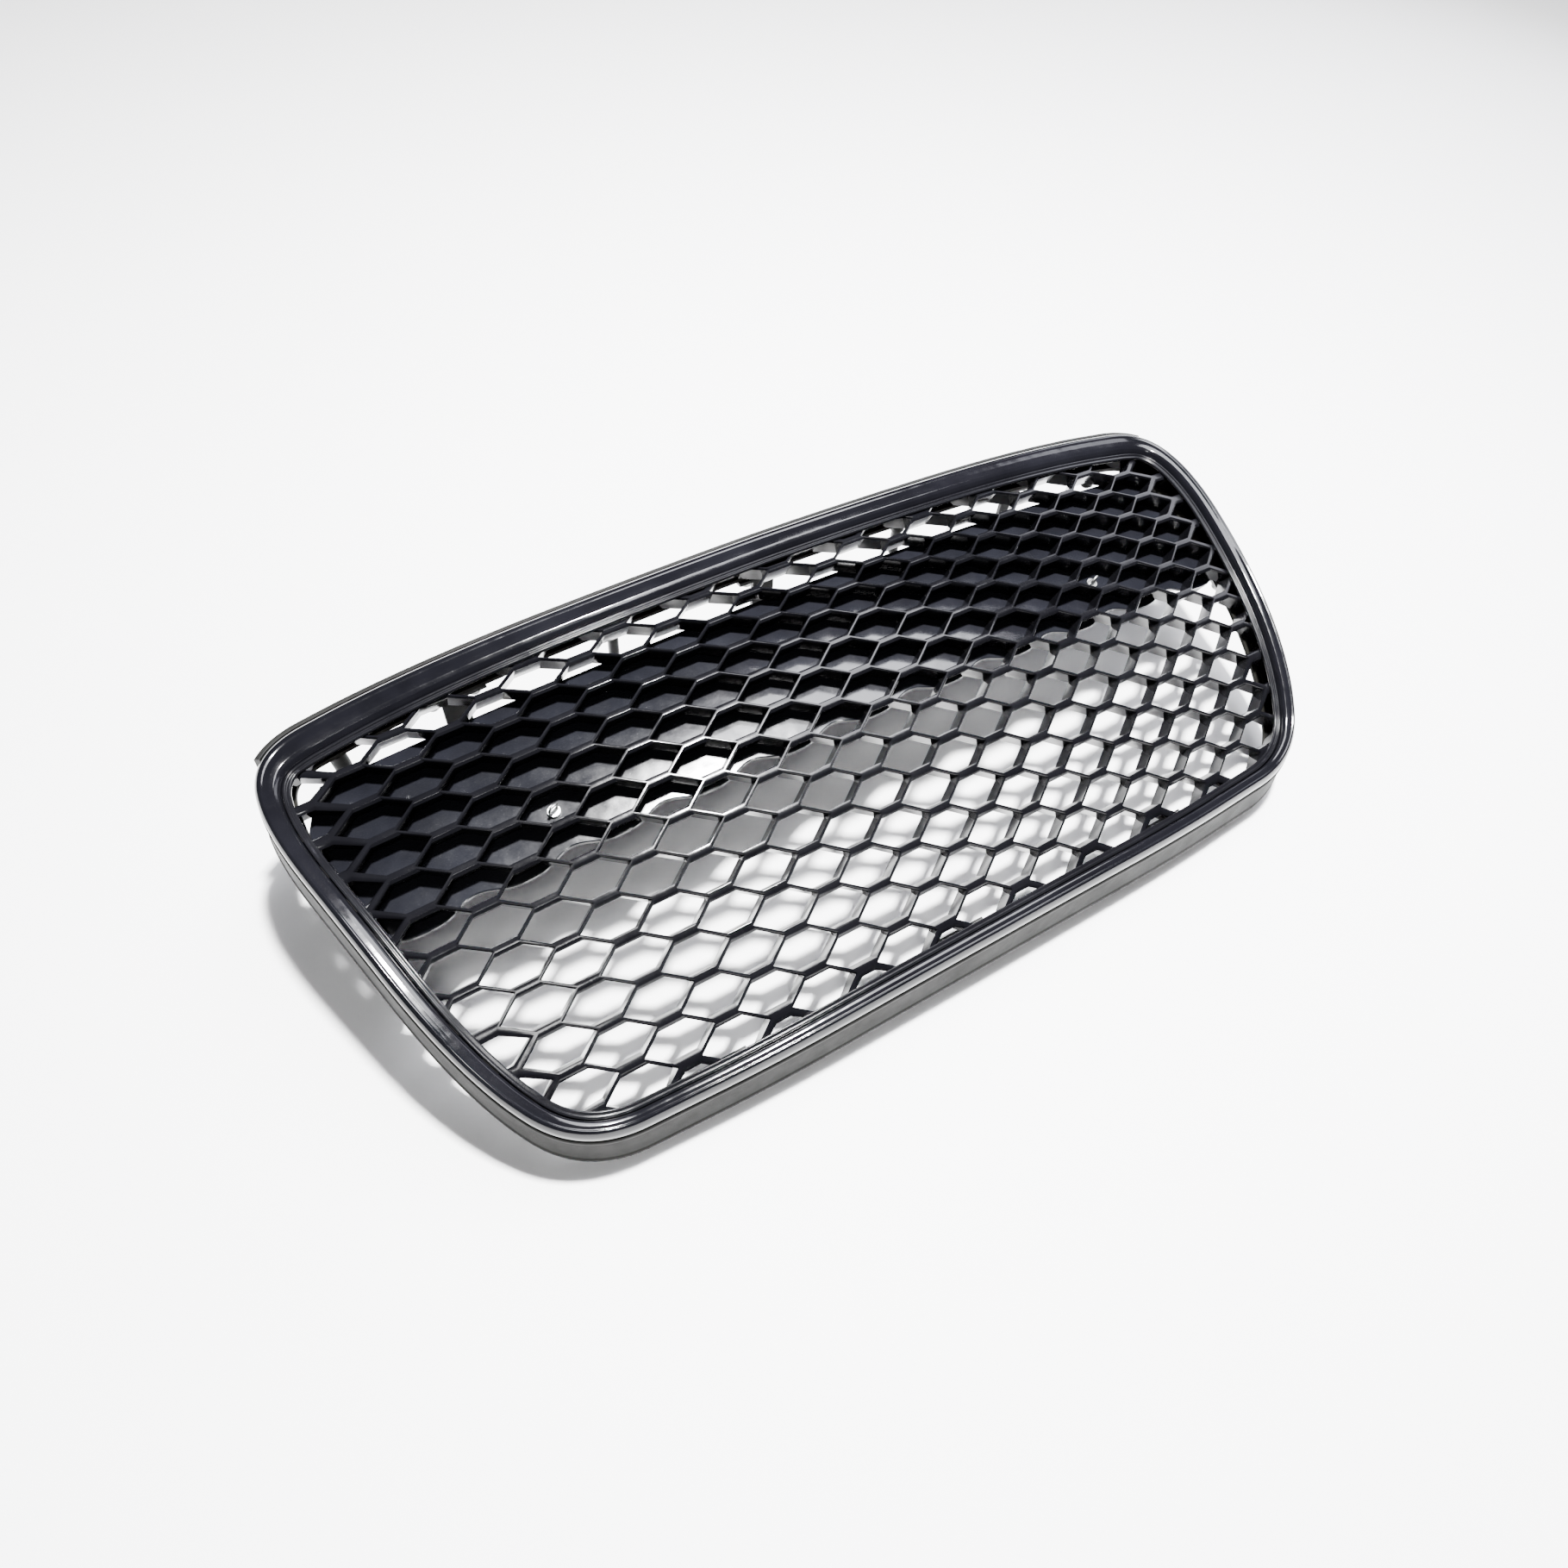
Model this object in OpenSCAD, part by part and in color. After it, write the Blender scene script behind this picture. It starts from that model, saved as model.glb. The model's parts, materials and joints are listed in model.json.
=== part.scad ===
/* [Face form] */
// Height of the mesh front above the floor at the centre of the face
face_height = 102; // [100:1:110]
// Drop of the face from the middle to the side ends
face_bow = 22; // [14:1:24]
// Rise of the face towards the top edge
face_tilt = 38; // [36:1:40]
// Arch of the face from top to bottom
face_arch = 31; // [29:1:32]
// Lift of the four corners against the plain bow and arch
corner_lift = 8; // [6:1:10]

/* [Outline] */
// Half width of the outline at the upper corners
top_half_width = 332; // [330:1:336]
// Half width of the outline at the lower corners
bottom_half_width = 260; // [258:1:263]
// Distance from the centre to the top edge
top_edge_y = 152; // [150:1:154]
// Distance from the centre to the bottom edge
bottom_edge_y = 138; // [136:1:140]

/* [Bezel] */
// Width of the bead along the top edge
bead_width_top = 20; // [18:1:21]
// Width of the bead along the sides
bead_width_side = 12; // [11:1:14]
// Width of the bead along the bottom edge
bead_width_bottom = 9; // [8:1:12]
// Height of the bead crest over the mesh front
bead_height = 10; // [7:1:12]

/* [Carrier frame] */
// Depth of the skirt below the mesh front
skirt_depth = 20; // [19:1:24]
// Outward flare of the skirt at its rear edge
skirt_flare = 2.5; // [1:0.5:3]
// Wall thickness of the skirt
skirt_wall = 2.6; // [2:0.1:2.8]

/* [Honeycomb] */
// Spacing of neighbouring cell columns
column_pitch = 28; // [27:0.5:29]
// Height of one cell in a column
row_pitch = 23.06; // [22:0.02:24]
// Length of the flat bar between two neighbouring cell points
bar_length = 11.5; // [10:0.5:13]
// Thickness of the horizontal bars
bar_thickness = 5.5; // [4:0.5:7]
// Thickness of the slanted walls
wall_thickness = 2; // [1.5:0.1:3]
// Depth of the honeycomb from front to rear
mesh_depth = 13; // [12:1:15]
// Lean of the cell walls: how far they move up for each millimetre they run back
wall_lean = 0.38; // [0:0.02:0.44]

/* [Blanking panel] */
// Lower edge of the panel tabs
panel_low_y = 4; // [3:1:8]
// Upper edge of the panel
panel_high_y = 112; // [106:1:114]
// Thickness of the panel
panel_thickness = 2.5; // [2:0.1:3]

/* [Mounting] */
// Distance from the centre to each upper corner bracket
upper_bracket_x = 215; // [190:5:230]
// Distance from the centre to each lower hook
lower_hook_x = 170; // [140:5:190]
// Radius of the screw bore in each bracket foot
bracket_bore_r = 3.25; // [2.5:0.05:3.5]
// Radius of the bore in each lower hook
hook_bore_r = 2.75; // [2:0.05:3]
// Length of the bracket foot bore
foot_thickness = 3; // [3:0.5:4]

/* [Hidden] */
$fn = 48;

// Half sizes that the form of the face is measured against
span_x = 310;
span_y = 140;

// Fit gaps
gap = 0.4;
shelf_top = -mesh_depth - gap;
shelf_thickness = 3;
shelf_under = shelf_top - shelf_thickness;
shelf_reach = 5;
shelf_cut_back = 11;
skirt_top = 3;
seal_reach = 4.6;

// Puts the origin under the middle of the whole part, from the flared skirt to the seal
frame_y = (top_edge_y + seal_reach - bottom_edge_y - skirt_flare) / 2;
module place() {
    translate([0, -frame_y, 0])
        children();
}

// Height and slopes of the mesh front
function face_z(x, y) = let (u = x / span_x, v = y / span_y)
    face_height - face_bow * u * u + face_tilt * v - face_arch * v * v + corner_lift * u * u * v * v;
function slope_x(x, y) = let (u = x / span_x, v = y / span_y)
    (-2 * face_bow * u + 2 * corner_lift * u * v * v) / span_x;
function slope_y(x, y) = let (u = x / span_x, v = y / span_y)
    (face_tilt - 2 * face_arch * v + 2 * corner_lift * u * u * v) / span_y;

// Right half of the outline: corner points, each with the run of its rounding before and after it
corners = [
    [[0, top_edge_y], 0, 0],
    [[0.7 * top_half_width, top_edge_y - 2], 90, 55],
    [[top_half_width, top_edge_y - 16], 34, 34],
    [[top_half_width + 2.5, 0.52 * top_edge_y], 20, 35],
    [[bottom_half_width + 37.5, -0.535 * bottom_edge_y], 60, 35],
    [[bottom_half_width, 7 - bottom_edge_y], 32, 37],
    [[0.57 * bottom_half_width, 0.4 - bottom_edge_y], 40, 50],
    [[0, -bottom_edge_y], 0, 0]
];
corner_steps = [1, 3, 10, 3, 6, 9, 2, 1];
edge_step = 34;

function unit(v) = v / norm(v);
function mix(a, b, t) = a + (b - a) * t;
function bend(a, b, c, t) = mix(mix(a, b, t), mix(b, c, t), t);
function corner_start(i) = let (before = corners[max(i - 1, 0)][0])
    corners[i][0] - unit(corners[i][0] - before) * corners[i][1];
function corner_end(i) = let (after = corners[min(i + 1, 7)][0])
    corners[i][0] + unit(after - corners[i][0]) * corners[i][2];
function corner_points(i) = corner_steps[i] == 1
    ? [corners[i][0]]
    : [for (s = [0 : corner_steps[i]])
        bend(corner_start(i), corners[i][0], corner_end(i), s / corner_steps[i])];
function edge_points(i) = let (
        a = i == 0 ? corners[0][0] : corner_end(i),
        b = i == 6 ? corners[7][0] : corner_start(i + 1),
        parts = ceil(norm(b - a) / edge_step)
    ) [for (s = [1 : 1 : parts - 1]) mix(a, b, s / parts)];
right_half = [for (i = [0 : 7]) each concat(corner_points(i), i < 7 ? edge_points(i) : [])];
half_count = len(right_half);
outline = concat(right_half, [for (i = [half_count - 2 : -1 : 1]) [-right_half[i][0], right_half[i][1]]]);
path_count = len(outline);

// Outward direction and bead width at each point of the outline
function outward(i) = let (
        d = unit(outline[(i + 1) % path_count] - outline[(i + path_count - 1) % path_count])
    ) [-d[1], d[0]];
normals = [for (i = [0 : path_count - 1]) outward(i)];
function bead_width(i) = bead_width_side
    + max(normals[i][1], 0) * (bead_width_top - bead_width_side)
    + max(-normals[i][1], 0) * (bead_width_bottom - bead_width_side);
function shelf_width(i) = bead_width(i) + shelf_reach - max(normals[i][1], 0) * shelf_cut_back;
function inset(i, n) = outline[i] - normals[i] * n;
function section_point(i, s) = let (p = inset(i, s[0])) [p[0], p[1], max(0, face_z(p[0], p[1]) + s[1])];

// Loops of points, one after the other, closed into a ring or capped at both ends by a ladder of strips
module loft(loops, closed) {
    rows = len(loops);
    n = len(loops[0]);
    last = closed ? rows - 1 : rows - 2;
    sides = [for (r = [0 : last]) for (k = [0 : n - 1]) let (
            a = r * n + k,
            b = r * n + (k + 1) % n,
            c = ((r + 1) % rows) * n + (k + 1) % n,
            d = ((r + 1) % rows) * n + k
        ) each [[a, c, b], [a, d, c]]];
    z = (rows - 1) * n;
    caps = closed ? [] : [for (k = [0 : n / 2 - 2]) let (a = k, b = k + 1, c = n - 2 - k, d = n - 1 - k)
        each [[a, b, c], [a, c, d], [z + a, z + c, z + b], [z + a, z + d, z + c]]];
    polyhedron(points = [for (l = loops) each l], faces = concat(sides, caps), convexity = 10);
}

// A section carried round the whole outline, or along part of it
module ring(sections) {
    loft([for (i = [0 : path_count - 1]) [for (s = sections[i]) section_point(i, s)]], true);
}

// Places its children at x, y and a depth under the mesh front, tilted to the face,
// then moves them by h along their own axis
module on_face(x, y, depth, h = 0) {
    translate([x, y, face_z(x, y) + depth])
        rotate([atan(slope_y(x, y)), -atan(slope_x(x, y)), 0])
            translate([0, 0, h])
                children();
}

// Bezel
module bezel() {
    place() color([0.02, 0.02, 0.025])
        ring([for (i = [0 : path_count - 1]) let (w = bead_width(i), t = bead_height) [
            [0.9, skirt_top + 0.5],
            [0.1, skirt_top + 1.6],
            [0.3, 0.66 * t],
            [0.14 * w, 0.87 * t],
            [0.32 * w, t],
            [0.55 * w, t],
            [0.78 * w, 0.82 * t],
            [0.95 * w, 0.52 * t],
            [w, 0.22 * t],
            [w, gap],
            [skirt_wall + 2 * gap, gap],
            [skirt_wall + 2 * gap, skirt_top + 0.5]
        ]]);
}

// Stepped ring between the bezel and the honeycomb
lip_width = 4.2;
module inner_lip() {
    place() color([0.04, 0.04, 0.045])
        ring([for (i = [0 : path_count - 1]) let (w = bead_width(i) + 0.3) [
            [w, gap],
            [w, 3.6],
            [w + 0.3 * lip_width, 3.6],
            [w + 0.45 * lip_width, 2.4],
            [w + 0.85 * lip_width, 2.4],
            [w + lip_width, 1.5],
            [w + lip_width, gap]
        ]]);
}

// Positions of the screws that come up through the shelf: x, y
bracket_screw_spread = 13;
bracket_y = 140.5;
hook_y = -128;
hook_screw_spread = 14;
clip_y = 4;
clip_spread = 12;
side_clip_x = 306;
bracket_screw_places = [for (x = [-upper_bracket_x, 0, upper_bracket_x]) for (s = [-1, 1])
    [x + s * bracket_screw_spread, bracket_y]];
hook_screw_places = [for (x = [-lower_hook_x, 0, lower_hook_x]) for (s = [-1, 1])
    [x + s * hook_screw_spread, hook_y]];
clip_screw_places = [for (m = [-1, 1]) [m * side_clip_x, clip_y]];
screw_r = 1.9;
screw_hole_r = 2.3;

// Outer wall and shelf
module carrier_frame() {
    place() color([0.42, 0.42, 0.39])
        difference() {
            ring([for (i = [0 : path_count - 1]) let (w = shelf_width(i)) [
                [0, skirt_top],
                [skirt_wall, skirt_top],
                [skirt_wall, shelf_top],
                [w, shelf_top],
                [w, shelf_under],
                [skirt_wall - 0.8, shelf_under],
                [skirt_wall - skirt_flare, -skirt_depth],
                [-skirt_flare, -skirt_depth]
            ]]);
            for (p = concat(bracket_screw_places, hook_screw_places, clip_screw_places))
                on_face(p[0], p[1], shelf_under, -2)
                    cylinder(r = screw_hole_r, h = shelf_thickness + 4);
        }
}

// Honeycomb lattice: cell columns c and half rows r, a cell wherever c + r is even
column_last = 13;
row_first = -9;
row_last = 18;
row_middle = 4.74;
row_lift = 6.4;
column_fan = 0.027;
row_growth = 7.2;
half_bar = bar_length / 2;
half_row = row_pitch / 2;
tip = column_pitch - half_bar;

// Keeps points that neighbouring cells share equal to the last digit
function tidy(v) = round(v * 10000) / 10000;
function lattice(x, y) = let (u = x / span_x, v = y / span_y)
    [tidy(x * (1 + column_fan * v)), tidy(y + row_lift * u * u + row_growth * v * v)];
function hexagon(c, r, bar, high, point) = let (x = c * column_pitch, y = (r - row_middle) * half_row) [
    lattice(x - bar, y + high),
    lattice(x - point, y),
    lattice(x - bar, y - high),
    lattice(x + bar, y - high),
    lattice(x + point, y),
    lattice(x + bar, y + high)
];

// Edge of the honeycomb inside the skirt, anticlockwise, and the signed distance of a point inside it
mesh_inset = skirt_wall + gap;
mesh_edge = [for (i = [path_count - 1 : -1 : 0]) let (p = inset(i, mesh_inset)) [tidy(p[0]), tidy(p[1])]];
function cross2(a, b) = a[0] * b[1] - a[1] * b[0];
function side_of(a, b, p) = cross2(b - a, p - a) / norm(b - a);
function depth_in(p) = min([for (i = [0 : path_count - 1])
    side_of(mesh_edge[i], mesh_edge[(i + 1) % path_count], p)]);

// Cuts a polygon by the line a to b, keeping its left side
function cut_point(a, b, p, q) = let (dp = side_of(a, b, p), dq = side_of(a, b, q), t = dp / (dp - dq))
    [tidy(mix(p[0], q[0], t)), tidy(mix(p[1], q[1], t))];
function cut(poly, a, b) = let (n = len(poly)) [for (i = [0 : 1 : n - 1]) let (
        p = poly[i],
        q = poly[(i + 1) % n],
        p_in = side_of(a, b, p) >= 0,
        q_in = side_of(a, b, q) >= 0
    ) each concat(p_in ? [p] : [], p_in != q_in ? [cut_point(a, b, p, q)] : [])];
function cut_all(poly, i) = i == path_count || len(poly) < 3 ? poly
    : cut_all(cut(poly, mesh_edge[i], mesh_edge[(i + 1) % path_count]), i + 1);
function area(poly) = let (n = len(poly))
    n < 3 ? 0 : 0.5 * abs(sum2([for (i = [0 : n - 1]) cross2(poly[i], poly[(i + 1) % n])], 0));
function sum2(v, i) = i == len(v) ? 0 : v[i] + sum2(v, i + 1);
function centroid(poly) = let (n = len(poly)) [
    sum2([for (p = poly) p[0]], 0) / n,
    sum2([for (p = poly) p[1]], 0) / n
];

// One cell: its outer polygon, its hole (empty where too little is left of the cell), and whether it was cut
smallest_cut_cell = 0.5;
smallest_open_cell = 110;
edge_hole_x = 0.8;
edge_hole_y = 0.7;
hole_half_bar = half_bar + bar_thickness / 2 * (tip - half_bar) / half_row - 0.8 * wall_thickness;
hole_tip = tip - 0.8 * wall_thickness;
function shrink(poly) = let (m = centroid(poly)) [for (p = poly)
    [m[0] + edge_hole_x * (p[0] - m[0]), m[1] + edge_hole_y * (p[1] - m[1])]];
function cell(c, r) = let (
        outer = hexagon(c, r, half_bar, half_row, tip),
        whole = min([for (p = outer) depth_in(p)]) >= 0,
        kept = whole ? outer : cut_all(outer, 0),
        hole = whole ? hexagon(c, r, hole_half_bar, half_row - bar_thickness / 2, hole_tip)
            : area(kept) > smallest_open_cell ? shrink(kept) : []
    ) [kept, hole, !whole];
cells = [for (c = [-column_last : column_last]) for (r = [row_first : row_last])
    if ((c + r) % 2 == 0) let (one = cell(c, r)) if (area(one[0]) > smallest_cut_cell) one];

// Where a wall that starts at p on the front ends at the rear; it stands straight along the skirt
lean_run_in = 12;
function rear_of(p) = [p[0], p[1] + wall_lean * mesh_depth * min(1, max(0, depth_in(p)) / lean_run_in)];

// Points and faces of one cell; faces run clockwise seen from outside
function at_height(p, h) = [p[0], p[1], face_z(p[0], p[1]) + h];
function cell_points(one) = [
    for (p = one[0]) at_height(p, 0),
    for (p = one[0]) at_height(rear_of(p), -mesh_depth),
    for (p = one[1]) at_height(p, 0),
    for (p = one[1]) at_height(rear_of(p), -mesh_depth)
];
function on_edge(p, q) = abs(depth_in((p + q) / 2)) < 0.002;
function cell_faces(one, at) = let (n = len(one[0]), open = len(one[1]) > 0) [
    for (i = [0 : n - 1]) let (
        j = (i + 1) % n,
        a = at + i,
        b = at + j,
        c = a + 2 * n,
        d = b + 2 * n
    ) each concat(
        open ? [[a, d, b], [a, c, d], [a + n, b + n, d + n], [a + n, d + n, c + n],
            [c, d + n, d], [c, c + n, d + n]] : [],
        one[2] && on_edge(one[0][i], one[0][j]) ? [[a, b, b + n], [a, b + n, a + n]] : []
    ),
    if (!open) for (i = [1 : n - 2]) each [[at, at + i + 1, at + i], [at + n, at + n + i, at + n + i + 1]]
];
function starts(i, at) = i == len(cells) ? []
    : concat([at], starts(i + 1, at + 2 * (len(cells[i][0]) + len(cells[i][1]))));
module mesh_insert() {
    first = starts(0, 0);
    place() color([0.03, 0.03, 0.035])
        polyhedron(
            points = [for (one = cells) each cell_points(one)],
            faces = [for (i = [0 : len(cells) - 1]) each cell_faces(cells[i], first[i])],
            convexity = 20
        );
}

// Blanking panel: closes the upper cells from behind, with rounded tabs along its lower edge
panel_front = -mesh_depth - gap;
panel_columns = 88;
panel_rows = 5;
panel_side_gap = bead_width_side + shelf_reach + 1;
tab_depth = 6;
tab_sharpness = 1.6;
corner_cut_start = 88;
corner_cut = 0.6;
rivet_r = 2;
rivet_hole_r = 2.4;
rivet_head_r = 4;
function side_x(y) = let (
        low = corners[4][0],
        high = corners[3][0],
        t = min(1, (y - low[1]) / (high[1] - low[1]))
    ) mix(low[0], high[0], t) - panel_side_gap - corner_cut * max(0, y - corner_cut_start);
function panel_low(u) = let (x = u * side_x(panel_low_y))
    panel_low_y + tab_depth * pow((1 - cos(360 * x / (2 * column_pitch))) / 2, tab_sharpness);
function panel_section(j) = let (
        u = 2 * j / panel_columns - 1,
        low = panel_low(u),
        ys = [for (k = [0 : panel_rows]) mix(low, panel_high_y, k / panel_rows)]
    ) concat(
        [for (y = ys) [u * side_x(y), y, face_z(u * side_x(y), y) + panel_front - panel_thickness]],
        [for (k = [panel_rows : -1 : 0]) let (y = ys[k])
            [u * side_x(y), y, face_z(u * side_x(y), y) + panel_front]]
    );
function bar_place(c, r) = lattice(c * column_pitch, (r - row_middle) * half_row)
    + [0, wall_lean * mesh_depth];
rivet_places = [for (c = [-10, -6, -2, 2, 6, 10]) for (r = [7, 13]) bar_place(c, r)];
module blanking_panel() {
    place() color([0.1, 0.1, 0.11])
        difference() {
            loft([for (j = [0 : panel_columns]) panel_section(j)], false);
            for (p = rivet_places)
                on_face(p[0], p[1], panel_front, -2 * panel_thickness)
                    cylinder(r = rivet_hole_r, h = 3 * panel_thickness);
        }
}

// Heat staked rivets from the honeycomb through the panel
module panel_rivets() {
    place() color([0.06, 0.06, 0.065])
        for (p = rivet_places)
            on_face(p[0], p[1], panel_front, -panel_thickness - 2.4)
                union() {
                    cylinder(r1 = rivet_head_r - 1, r2 = rivet_head_r, h = 1.8);
                    cylinder(r = rivet_r, h = 2.4 + panel_thickness);
                }
}

// Ring eyes that stand on the panel, one on each side
eye_column = 7;
eye_row = 7;
eye_r = 3;
eye_wire_r = 0.8;
eye_base_r = 3.6;
eye_drop = 2;
module panel_eyes() {
    place() color([0.5, 0.5, 0.52])
        for (c = [-eye_column, eye_column])
            let (p = bar_place(c, eye_row))
                on_face(p[0], p[1] - eye_drop, panel_front, 0.35)
                    union() {
                        cylinder(r = eye_base_r, h = 1.5);
                        translate([0, 0, 1.2 + eye_r])
                            rotate([90, 0, 20])
                                rotate_extrude()
                                    translate([eye_r, 0])
                                        circle(r = eye_wire_r);
                    }
}

// Seal strip along the upper outer edge, with a step at each end
seal_reach_y = 128;
seal_half = [for (i = [0 : half_count - 1]) if (outline[i][1] > seal_reach_y) i];
seal_last = len(seal_half) - 1;
seal_path = concat([for (i = [seal_last : -1 : 1]) path_count - i], [for (i = [0 : seal_last]) i]);
seal_section = [[-0.5, 7.5], [-0.5, 2.8], [-1.9, -8], [-3.8, -8], [-seal_reach, 0], [-4.2, 6.8]];
module top_seal() {
    place() color([0.3, 0.3, 0.29])
        loft([for (i = seal_path) [for (s = seal_section) section_point(i, s)]], false);
}

// Small clips under the seal
seal_clip = [14, 2.4, 4];
seal_clip_places = [-200, -100, 0, 100, 200];
function top_y(x) = top_edge_y - 2 * abs(x) / corners[1][0][0];
module top_seal_clips() {
    place() color([0.12, 0.12, 0.12])
        for (x = seal_clip_places)
            translate([x - seal_clip[0] / 2, top_y(x) + 2.2, face_z(x, top_edge_y) - 9.8 - seal_clip[2]])
                cube(seal_clip);
}

// Flange under the shelf with one bore for each screw, its underside at the given depth
flange_thickness = 2.5;
flange_under = -gap - flange_thickness;
module flange(size, bores) {
    difference() {
        translate([-size[0] / 2, -size[1] / 2, 0])
            cube([size[0], size[1], flange_thickness]);
        for (x = bores)
            translate([x, 0, -1])
                cylinder(r = screw_hole_r, h = flange_thickness + 2);
    }
}

// Foot with a true mounting bore, high enough for the lower leaf of its spring nut
nut_plate = [16, 18, 0.9];
nut_gap = 0.15;
foot_z = nut_plate[2] + nut_gap;
foot_width = 30;
foot_length = 26;
web_thickness = 3;
module foot(bore_y, bore_r) {
    difference() {
        translate([-foot_width / 2, 0, foot_z])
            cube([foot_width, foot_length, foot_thickness]);
        translate([0, bore_y, foot_z - 1])
            cylinder(r = bore_r, h = foot_thickness + 2);
    }
}

// Upper bracket: flange under the shelf, upright web with two gussets, foot on the floor side
upper_flange = [40, 9];
bracket_bore_y = 11;
web_y = bracket_y - 1.5;
module upper_bracket(x) {
    z_top = face_z(x, bracket_y) + shelf_under + flange_under;
    place() color([0.05, 0.05, 0.05])
        union() {
            on_face(x, bracket_y, shelf_under, flange_under)
                flange(upper_flange, [-bracket_screw_spread, bracket_screw_spread]);
            translate([x - foot_width / 2 + 7, web_y, foot_z])
                cube([foot_width - 14, web_thickness, z_top - foot_z + 1]);
            translate([x, web_y - foot_length + web_thickness, 0])
                foot(bracket_bore_y, bracket_bore_r);
            for (s = [-1, 1])
                translate([x + s * (foot_width / 2 - 2) + 1, web_y + web_thickness, foot_z])
                    rotate([90, 0, -90])
                        linear_extrude(2)
                            polygon([[0, 0], [foot_length, 0], [web_thickness, 30], [0, 30]]);
        }
}
module upper_bracket_left() upper_bracket(-upper_bracket_x);
module upper_bracket_right() upper_bracket(upper_bracket_x);
module upper_bracket_center() upper_bracket(0);

// Lower hooks and centre tab: a tilted flange under the shelf, an upright web and a foot
hook_flange = [44, 8];
hook_foot = [34, 20, 3];
hook_web = 2.4;
hook_bore_y = 12;
module lower_mount(x, slot) {
    z_top = face_z(x, hook_y) + shelf_under + flange_under;
    difference() {
        union() {
            on_face(x, hook_y, shelf_under, flange_under)
                flange(hook_flange, [-hook_screw_spread, hook_screw_spread]);
            translate([x - hook_foot[0] / 2 + 8, hook_y - hook_web / 2, 0])
                cube([hook_foot[0] - 16, hook_web, z_top + 0.5]);
            translate([x - hook_foot[0] / 2, hook_y - hook_web / 2, 0])
                cube(hook_foot);
        }
        for (s = [-slot, slot])
            translate([x + s, hook_y + hook_bore_y, -1])
                cylinder(r = hook_bore_r, h = hook_foot[2] + 2);
        if (slot > 0)
            translate([x - slot, hook_y + hook_bore_y - hook_bore_r, -1])
                cube([2 * slot, 2 * hook_bore_r, hook_foot[2] + 2]);
    }
}
module lower_hook_left() {
    place() color([0.05, 0.05, 0.05])
        lower_mount(-lower_hook_x, 0);
}
module lower_hook_right() {
    place() color([0.05, 0.05, 0.05])
        lower_mount(lower_hook_x, 0);
}
tab_slot = 3;
module lower_center_tab() {
    place() color([0.05, 0.05, 0.05])
        lower_mount(0, tab_slot);
}

// Screws that come up through a flange and the shelf
screw_head_r = 3.6;
screw_head_height = 2.4;
screw_end = 0.75 * shelf_thickness;
module shelf_screw(p, head_r) {
    head_z = flange_under - screw_head_height - 0.05;
    on_face(p[0], p[1], shelf_under, head_z)
        difference() {
            union() {
                cylinder(r = head_r, h = screw_head_height);
                cylinder(r = screw_r, h = screw_end - head_z);
            }
            translate([0, 0, -1])
                cylinder(r = 1.5, h = 2.2, $fn = 6);
        }
}
module bracket_screws() {
    place() color([0.6, 0.6, 0.62])
        for (p = bracket_screw_places)
            shelf_screw(p, screw_head_r);
}
module hook_screws() {
    place() color([0.6, 0.6, 0.62])
        for (p = hook_screw_places)
            shelf_screw(p, screw_head_r - 0.6);
}

// Spring nuts clipped over the feet of the upper brackets
nut_hole_r = 2.6;
nut_barrel_r = 4.2;
module spring_nut(x) {
    y_bore = web_y - foot_length + web_thickness + bracket_bore_y;
    y_back = web_y - foot_length + web_thickness - nut_gap - nut_plate[2];
    top_z = foot_z + foot_thickness + nut_gap;
    difference() {
        union() {
            translate([x - nut_plate[0] / 2, y_back, foot_z - nut_gap - nut_plate[2]])
                cube(nut_plate);
            translate([x - nut_plate[0] / 2, y_back, top_z])
                cube(nut_plate);
            translate([x - nut_plate[0] / 2, y_back, foot_z - nut_gap - nut_plate[2]])
                cube([nut_plate[0], nut_plate[2], foot_thickness + 2 * nut_gap + 2 * nut_plate[2]]);
            translate([x, y_bore, top_z])
                cylinder(r = nut_barrel_r, h = 4);
        }
        translate([x, y_bore, -1])
            cylinder(r = nut_hole_r, h = foot_z + foot_thickness + 10);
    }
}
module spring_nuts() {
    place() color([0.62, 0.63, 0.65])
        for (x = [-upper_bracket_x, 0, upper_bracket_x])
            spring_nut(x);
}

// Side clips: a base under the shelf and a bent spring leg
clip_base = [9, 22];
clip_leg = 1.2;
clip_width = 14;
module side_clip(m) {
    place() color([0.6, 0.6, 0.62])
        on_face(m * side_clip_x, clip_y, shelf_under, flange_under)
            union() {
                flange(clip_base, [0]);
                for (s = [-1, 1])
                    translate([0, s * (clip_base[1] / 2 - 3) + clip_leg, 0.5])
                        rotate([90, 0, 0])
                            linear_extrude(2 * clip_leg)
                                polygon([[-2, 0], [2, 0], [3.4, -12], [0, -24], [-1.4, -23.4], [1.6, -12]]);
            }
}
module side_clip_left() side_clip(-1);
module side_clip_right() side_clip(1);
module clip_screws() {
    place() color([0.6, 0.6, 0.62])
        for (p = clip_screw_places)
            shelf_screw(p, screw_head_r);
}

// Rubber bump pads at the rear of the upper corners
pad_places = [for (m = [-1, 1]) [m * 288, 133]];
pad_r = 5;
pad_height = 12;
module bump_pads() {
    place() color([0.03, 0.03, 0.03])
        for (p = pad_places)
            on_face(p[0], p[1], shelf_under, -gap - pad_height)
                union() {
                    cylinder(r = pad_r, h = pad_height);
                    translate([0, 0, -2])
                        cylinder(r1 = pad_r - 2, r2 = pad_r, h = 2);
                }
}

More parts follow.
